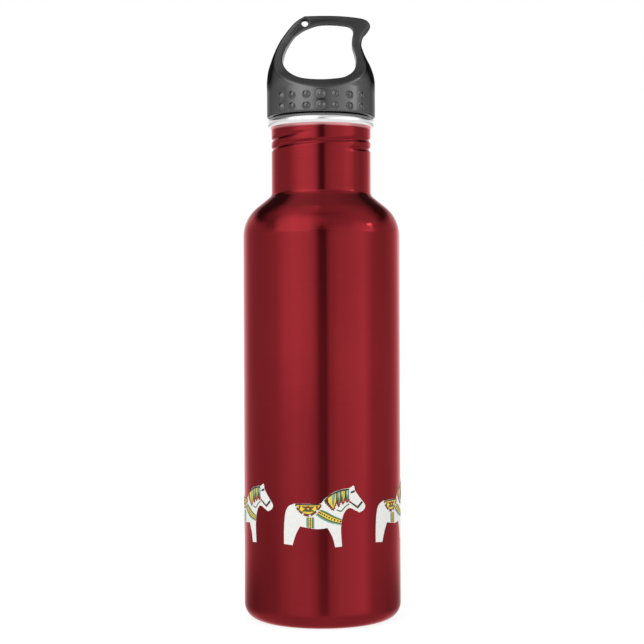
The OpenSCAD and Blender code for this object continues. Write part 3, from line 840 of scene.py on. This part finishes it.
def filled(outline):
    """Points and triangles that fill an outline evenly, so that it can be wrapped on the wall."""
    pts = [tuple(map(float, p)) for p in dense(list(outline) + [outline[0]], 0.9)[:-1]]
    m, step = len(pts), 1.5
    xs, ys = [p[0] for p in pts], [p[1] for p in pts]
    extra = [(x, y) for x in np.arange(min(xs) + step / 2, max(xs), step)
             for y in np.arange(min(ys) + step / 2, max(ys), step)]
    ring = [(i, (i + 1) % m) for i in range(m)]
    co, _, tris, _, _, _ = delaunay_2d_cdt(pts + extra, ring, [list(range(m))], 1, 1e-5)
    co = np.array([tuple(c) for c in co])
    used = sorted({i for t in tris for i in t})
    new = {v: i for i, v in enumerate(used)}
    co = co[used]
    tris = [[new[i] for i in t] for t in tris]
    for t in tris:
        (xa, ya), (xb, yb), (xc, yc) = co[t]
        if (xb - xa) * (yc - ya) - (xc - xa) * (yb - ya) < 0:
            t.reverse()
    return co, tris


def flat_print(shapes, low):
    """Thin closed prints on the wall. shapes are (outline, height, ink), all in mm on the unrolled
    wall; each runs from the height low up to its own height above the steel."""
    verts, faces, inks = [], [], []
    base = 0
    for outline, high, ink in shapes:
        co, tris = filled(outline)
        k, a = len(co), co[:, 0] / BODY_R
        for level in (high, low):
            r = BODY_R + level
            verts.append(np.stack([r * np.sin(a), -r * np.cos(a), co[:, 1]], 1))
        for t in tris:
            faces.append([base + i for i in t])
            faces.append([base + k + i for i in reversed(t)])
        # a side wall on each edge that has a triangle on one side only
        edges = dict.fromkeys((t[i], t[(i + 1) % 3]) for t in tris for i in range(3))
        rim = [(i, j) for i, j in edges if (j, i) not in edges]
        faces += [[base + i, base + k + i, base + k + j, base + j] for i, j in rim]
        inks += [ink] * (2 * len(tris) + len(rim))
        base += 2 * k
    return np.vstack(verts), faces, inks


def coat_shapes():
    """The whole horse in white."""
    outline = joined(open_curve(RUMP), open_curve(BACK), EAR, open_curve(FACE), open_curve(THROAT),
                     open_curve(FORE_LEG), open_curve(BELLY), open_curve(HIND_LEG))
    return [(outline, COAT, WHITE)]


def saddle_shapes():
    """Saddle cloth: dark scalloped edge with a string of beads, yellow ground, leaves and
    flowers."""
    scallops, beads = 7, 15
    edge = [saddle_edge(i / 42) - [0, 0.45 * abs(sin(pi * scallops * i / 42))] for i in range(43)]
    inside = [saddle_edge(i / 30, 0.80) for i in range(31)]
    cloth = [(joined([(-12.2, 56.65)], edge, [(-0.7, 56.7), (-4, 56.7), (-10.2, 56.7)]),
              GROUND, DARK),
             (joined([(-10.9, 56.15)], inside, [(-1.9, 56.15), (-6, 56.1)]), FIRST, YELLOW)]
    for i in range(beads):
        x, y = saddle_edge((i + 0.5) / beads, 0.965)
        cloth.append((disc(x, y - 0.05, 0.40), SECOND, WHITE if i % 4 == 0 else RED))
    cx, cy = -6.4, 54.6                   # middle of the large flower
    for a in (205, 335, 160, 20):
        vein_x, vein_y = cx + 0.8 * cos(radians(a)), cy + 0.8 * sin(radians(a))
        cloth.append((leaf(cx, cy, 3.1, 1.0, a), SECOND, DARK))
        cloth.append((leaf(vein_x, vein_y, 2.0, 0.45, a), THIRD, GREEN))
    for a in (235, 305):
        cloth.append((leaf(cx, cy, 2.0, 0.9, a), SECOND, GREEN))
    for a in (90, 140, 40, 270):
        cloth.append((leaf(cx, cy, 1.5, 1.1, a), THIRD, RED))
    cloth.append((disc(cx, cy, 0.42), THIRD + 0.02, YELLOW))
    for x in (-10.3, -2.5):
        cloth.append((disc(x, 55.5, 0.5), SECOND, RED))
        cloth.append((leaf(x, 55.3, 1.3, 0.7, 255 if x < cx else 285), SECOND, DARK))
    return cloth


def harness_shapes():
    """Girth and breast strap: bands of teal, dark green and yellow with a row of beads."""
    harness = [([(-7.3, 50.8), (-3.7, 50.8), (-3.6, 45.9), (-7.2, 46.3)], GROUND, TEAL),
               ([(-6.6, 50.8), (-4.2, 50.8), (-4.1, 45.97), (-6.5, 46.2)], FIRST, GREEN),
               ([(-6.1, 50.8), (-4.7, 50.8), (-4.7, 46.0), (-6.1, 46.15)], SECOND, YELLOW)]
    for i in range(6):
        harness.append((disc(-5.4, 50.3 - 0.8 * i, 0.36), THIRD, DARK if i % 2 else RED))
    top, low = open_curve(STRAP_TOP), open_curve(STRAP_LOW)

    def lane(a, b):
        """The strap between the shares a and b of its width."""
        return joined(top * (1 - a) + low * a, (top * (1 - b) + low * b)[::-1])

    harness.append((lane(0, 1), GROUND, TEAL))
    harness.append((lane(0.06, 0.84), FIRST, GREEN))
    harness.append((lane(0.24, 0.66), SECOND, YELLOW))
    middle = top * 0.55 + low * 0.45
    beads, last = 10, len(middle) - 1
    for i in range(beads):
        at = (i + 0.5) / beads * last
        k = int(at)
        p = middle[k] + (at - k) * (middle[min(k + 1, last)] - middle[k])
        harness.append((disc(*p, 0.38), THIRD, DARK if i % 2 else RED))
    return harness


def mane_shapes():
    """Mane: yellow and teal locks with dark edges under a dark crest, red beads at the tips."""
    crest = open_curve(MANE_TOP)
    top = crest - [[0.0, 0.75]]

    def root(x):
        """Height at which the locks begin."""
        return float(np.interp(x, top[:, 0], top[:, 1]))

    mane = [(joined(crest, MANE_LOW), GROUND, DARK)]
    for i, (right, left, tip, low) in enumerate(MANE_LOCKS):
        a, b = right - 0.15, left + 0.1
        middle = (a + b) / 2
        outer, inner = (YELLOW, TEAL) if i % 2 else (TEAL, YELLOW)
        mane.append(([(a, root(a)), (middle, root(middle)), (b, root(b)),
                      (b + 0.1, (root(b) + low) / 2 + 0.6), (tip, low),
                      (a - 0.1, (root(a) + low) / 2)], FIRST, outer))
        mane.append(([(a - 0.35, root(a) - 0.2), (middle, root(middle) - 0.2),
                      (middle - 0.1, (root(b) + low) / 2 - 0.2), (tip, low + 1.0)],
                     SECOND, inner))
        mane.append((leaf(tip, low + 0.5, (root(tip) - low) * 0.62, 0.4, 92), THIRD, GREEN))
    for (xa, ya), (xb, yb) in zip(MANE_LOW, MANE_LOW[1:]):
        for share in (0.05, 0.38, 0.71):
            bead = disc(xa + (xb - xa) * share, ya + (yb - ya) * share + 0.2, 0.4)
            mane.append((bead, THIRD, RED))
    for i in range(5):
        share = (i + 0.4) / 5
        mane.append((disc(1.2 + 3.5 * share, 57.5 - 3.6 * share, 0.4), THIRD, RED))
    return mane


def bridle_shapes():
    """Headstall of three dark straps, a green rein and red studs."""
    return [([(12.9, 62), (14.6, 62.6), (14.9, 61.7), (13.2, 61.2)], GROUND, DARK),
            ([(12.2, 57.3), (12.5, 57.8), (16.3, 55.2), (15.7, 54.6)], GROUND, DARK),
            ([(18.2, 57.6), (18.8, 56.9), (16.3, 54.3), (15.6, 54.9)], GROUND, DARK),
            (band([(6.3, 54.1), (8.3, 53.5), (10.3, 55.4), (12.1, 56.6)], 0.5), GROUND, GREEN),
            (disc(12.5, 57.4, 0.42), FIRST, RED), (disc(16.0, 54.9, 0.5), FIRST, RED),
            (disc(13.1, 61.6, 0.35), FIRST, RED)]


def build_horses(inks):
    """Each layer of the print as one piece for each horse. The colours lie on the white coat."""
    layers = {"base": (coat_shapes(), 0.0), "saddle": (saddle_shapes(), COAT),
              "harness": (harness_shapes(), COAT), "mane": (mane_shapes(), COAT),
              "bridle": (bridle_shapes(), COAT)}
    for layer, (shapes, low) in layers.items():
        verts, faces, ids = flat_print(shapes, low)
        x, y, z = verts.T
        for i in range(HORSES):
            place = i - HORSES if i > HORSES // 2 else i
            c, s = cos(radians(HORSE_PITCH * place)), sin(radians(HORSE_PITCH * place))
            turned = np.column_stack([x * c - y * s, x * s + y * c, z])
            add_piece(f"print_{i + 1}_{layer}", turned, faces, "bottle",
                      [f"horse_{i + 1}_{layer}"], inks, ids, smooth=False)


# ---------------------------------------------------------------- build
make_camera()
make_world()
make_floor()
RED_COAT = lacquer_material()
BARE = steel_material("bare_steel_inside", 0.22, 0.34, 7000, 0.55)
POLISHED = steel_material("bare_steel_lip", 0.06, 0.12, 5000, 0.72)
CAP_SKIN = satin_material("cap_polished", 0.077, 0.091, 0.06, 0.09, 0.11, skirt=243.5)
CAP_FACE = satin_material("cap_matt_face", 0.047, 0.057, 0.20, 0.26, 0.35)
PLUG_PLASTIC = plastic_material("plug_plastic", (0.009, 0.009, 0.0095), (0.013, 0.013, 0.0135),
                                0.26, 0.33, ior=1.8)
RUBBER = plastic_material("gasket_rubber", (0.085, 0.085, 0.088), (0.11, 0.11, 0.113), 0.35, 0.45)
# near-black, unreflecting plastic that paints the shade in the slot under the skirt
PAINTED_SHADE = plastic_material("gasket_step_painted_shade", (0.004, 0.004, 0.004), (0.009, 0.009, 0.009), 0.6, 0.7,
                        specular=0.0)
INKS = [ink_material("ink_white", (0.63, 0.63, 0.61)),
        ink_material("ink_yellow", (0.66, 0.46, 0.04)),
        ink_material("ink_teal", (0.13, 0.29, 0.25)),
        ink_material("ink_dark", (0.016, 0.028, 0.012)),
        ink_material("ink_red", (0.22, 0.010, 0.008)),
        ink_material("ink_green", (0.06, 0.13, 0.03))]
build_bottle(RED_COAT, BARE)
build_base(RED_COAT, BARE)
build_lip(POLISHED)
build_cap(CAP_SKIN, CAP_FACE)
build_plug(PLUG_PLASTIC)
build_gasket(RUBBER, PAINTED_SHADE)
build_horses(INKS)

scene.view_settings.view_transform = "Standard"
